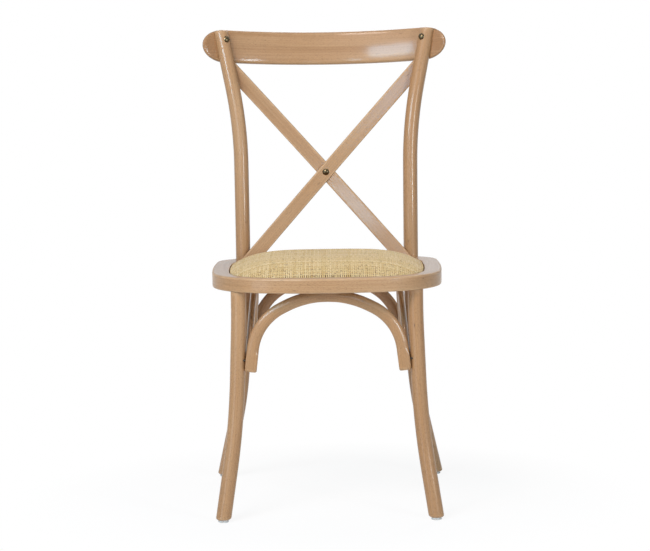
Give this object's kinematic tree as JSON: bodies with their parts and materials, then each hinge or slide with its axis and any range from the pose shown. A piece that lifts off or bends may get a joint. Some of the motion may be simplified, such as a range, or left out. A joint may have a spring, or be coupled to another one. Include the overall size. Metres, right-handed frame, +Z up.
{
  "type": "dining chair",
  "caption": "Cross-back bentwood dining chair with a crowned woven cane seat, arch braces under the seat, a bent top rail and round splayed legs on foot glides.",
  "frame": {"origin": "centre of the chair's box at floor level", "axes": "+X to the right as seen from the front, +Y from the front to the back, +Z up"},
  "size_m": [0.4714, 0.4904, 0.8885],
  "materials": {
    "satin_wood": "clear satin lacquer on bent hardwood",
    "plywood": "unfinished plywood",
    "woven_cane": "close-woven natural cane",
    "grey_plastic": "moulded, matt",
    "aged_bronze": "dark aged bronze plating",
    "zinc_steel": "zinc plated",
    "dark_steel": "dark oxide"
  },
  "bodies": {
    "root": {"seat_frame": "satin_wood", "seat_board": "plywood", "cane_seat": "woven_cane", "left_front_leg": "satin_wood", "right_front_leg": "satin_wood", "left_back_post": "satin_wood", "right_back_post": "satin_wood", "top_rail": "satin_wood", "front_cross_slat": "satin_wood", "back_cross_slat": "satin_wood", "front_arch": "satin_wood", "back_arch": "satin_wood", "left_side_arch": "satin_wood", "right_side_arch": "satin_wood", "left_front_glide": "grey_plastic", "right_front_glide": "grey_plastic", "left_back_glide": "grey_plastic", "right_back_glide": "grey_plastic", "cross_bolt": "aged_bronze", "cross_nut": "aged_bronze", "rail_bolts": "aged_bronze", "rail_nuts": "aged_bronze", "seat_bolts": "aged_bronze", "barrel_nuts": "zinc_steel", "crown_screws": "dark_steel", "arch_end_screws": "dark_steel", "slat_screws": "dark_steel", "panel_screws": "zinc_steel"}
  },
  "joints": []
}
